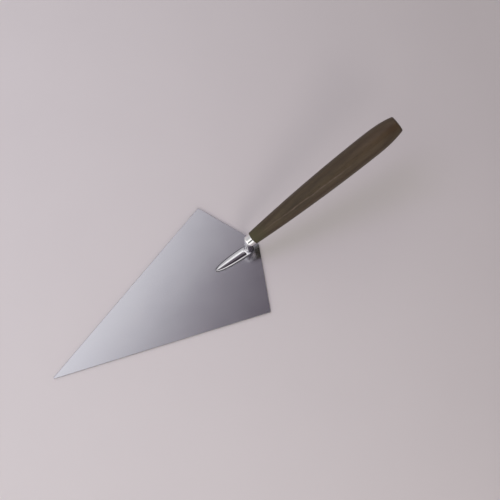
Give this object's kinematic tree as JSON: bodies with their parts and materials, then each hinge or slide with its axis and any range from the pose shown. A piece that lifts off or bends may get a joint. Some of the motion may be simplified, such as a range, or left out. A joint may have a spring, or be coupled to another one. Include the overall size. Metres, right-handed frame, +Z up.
{
  "type": "brick trowel",
  "caption": "Brick trowel for spreading mortar: flat kite-shaped steel blade, forged shank with a leaf-shaped foot and round neck, domed ferrule and slender turned wooden handle.",
  "frame": {"origin": "underside of the blade, on its centreline, level with the two shoulders", "axes": "+X along the blade towards its tip, +Z up from the blade towards the handle"},
  "size_m": [0.4596, 0.1494, 0.122],
  "materials": {
    "blade_steel": "satin, finely ground and half polished",
    "weld_steel": "weld bead dressed smooth",
    "polished_steel": "bright polished forged steel",
    "ferrule_steel": "bright polished steel",
    "handle_wood": "dark stained hardwood, oiled and worn to a low sheen"
  },
  "bodies": {
    "root": {"blade": "blade_steel", "foot_weld": "weld_steel", "shank": "polished_steel", "ferrule": "ferrule_steel", "handle": "handle_wood"}
  },
  "joints": []
}
